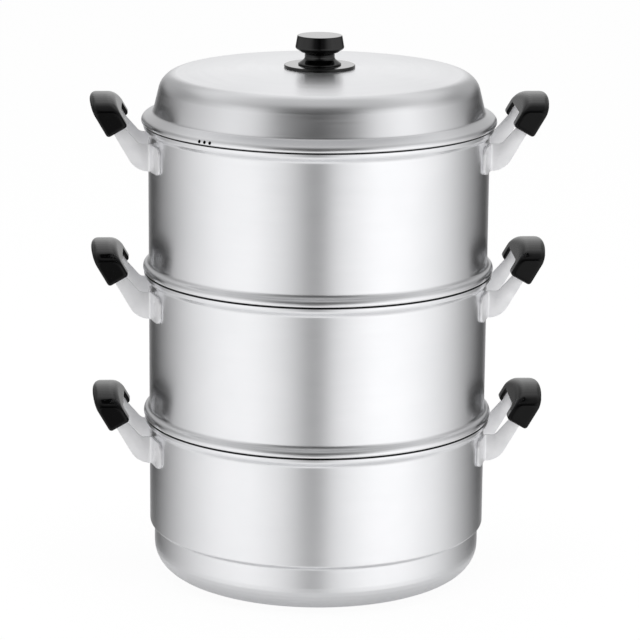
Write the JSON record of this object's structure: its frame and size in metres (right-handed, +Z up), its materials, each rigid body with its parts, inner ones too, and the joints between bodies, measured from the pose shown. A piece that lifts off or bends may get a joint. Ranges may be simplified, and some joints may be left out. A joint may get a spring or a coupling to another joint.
{
  "type": "steamer pot",
  "caption": "Stacking aluminium steamer set: boiling pot, perforated-floor tiers and a domed lid, with a black knob and black side grips on bent strap brackets",
  "frame": {"origin": "on the ground under the middle of the pot, on the stack's axis", "axes": "+Z up along the stack's axis; X runs through the handles, right-hand handles on +X; -Y is the side that faces the viewer, where the lid's steam holes are"},
  "size_m": [0.4048, 0.3144, 0.4857],
  "materials": {
    "satin_aluminium_sheet": "satin, finely spun anodised sheet",
    "aluminium_strap": "satin, tumbled strap",
    "black_phenolic": "glossy compression-moulded phenolic",
    "plated_steel": "bright zinc plate",
    "brass_insert": "turned brass"
  },
  "bodies": {
    "pot": {"pot_shell": "satin_aluminium_sheet", "pot_left_bracket": "aluminium_strap", "pot_left_grip": "black_phenolic", "pot_right_bracket": "aluminium_strap", "pot_right_grip": "black_phenolic", "pot_grip_screws": "plated_steel", "pot_grip_inserts": "brass_insert"},
    "lower_tier": {"lower_tier_shell": "satin_aluminium_sheet", "lower_tier_left_bracket": "aluminium_strap", "lower_tier_left_grip": "black_phenolic", "lower_tier_right_bracket": "aluminium_strap", "lower_tier_right_grip": "black_phenolic", "lower_tier_grip_screws": "plated_steel", "lower_tier_grip_inserts": "brass_insert"},
    "upper_tier": {"upper_tier_shell": "satin_aluminium_sheet", "upper_tier_left_bracket": "aluminium_strap", "upper_tier_left_grip": "black_phenolic", "upper_tier_right_bracket": "aluminium_strap", "upper_tier_right_grip": "black_phenolic", "upper_tier_grip_screws": "plated_steel", "upper_tier_grip_inserts": "brass_insert"},
    "lid": {"lid_shell": "satin_aluminium_sheet", "lid_knob": "black_phenolic", "lid_knob_plate": "black_phenolic", "lid_knob_insert": "brass_insert", "lid_knob_washer": "plated_steel", "lid_knob_screw": "plated_steel"}
  },
  "joints": [
    {"name": "lower_tier_lift", "type": "slide", "parent": "pot", "child": "lower_tier", "axis": [0, 0, 1], "range_m": [0, 0.18]},
    {"name": "upper_tier_lift", "type": "slide", "parent": "lower_tier", "child": "upper_tier", "axis": [0, 0, 1], "range_m": [0, 0.18]},
    {"name": "lid_lift", "type": "slide", "parent": "upper_tier", "child": "lid", "axis": [0, 0, 1], "range_m": [0, 0.15]}
  ]
}
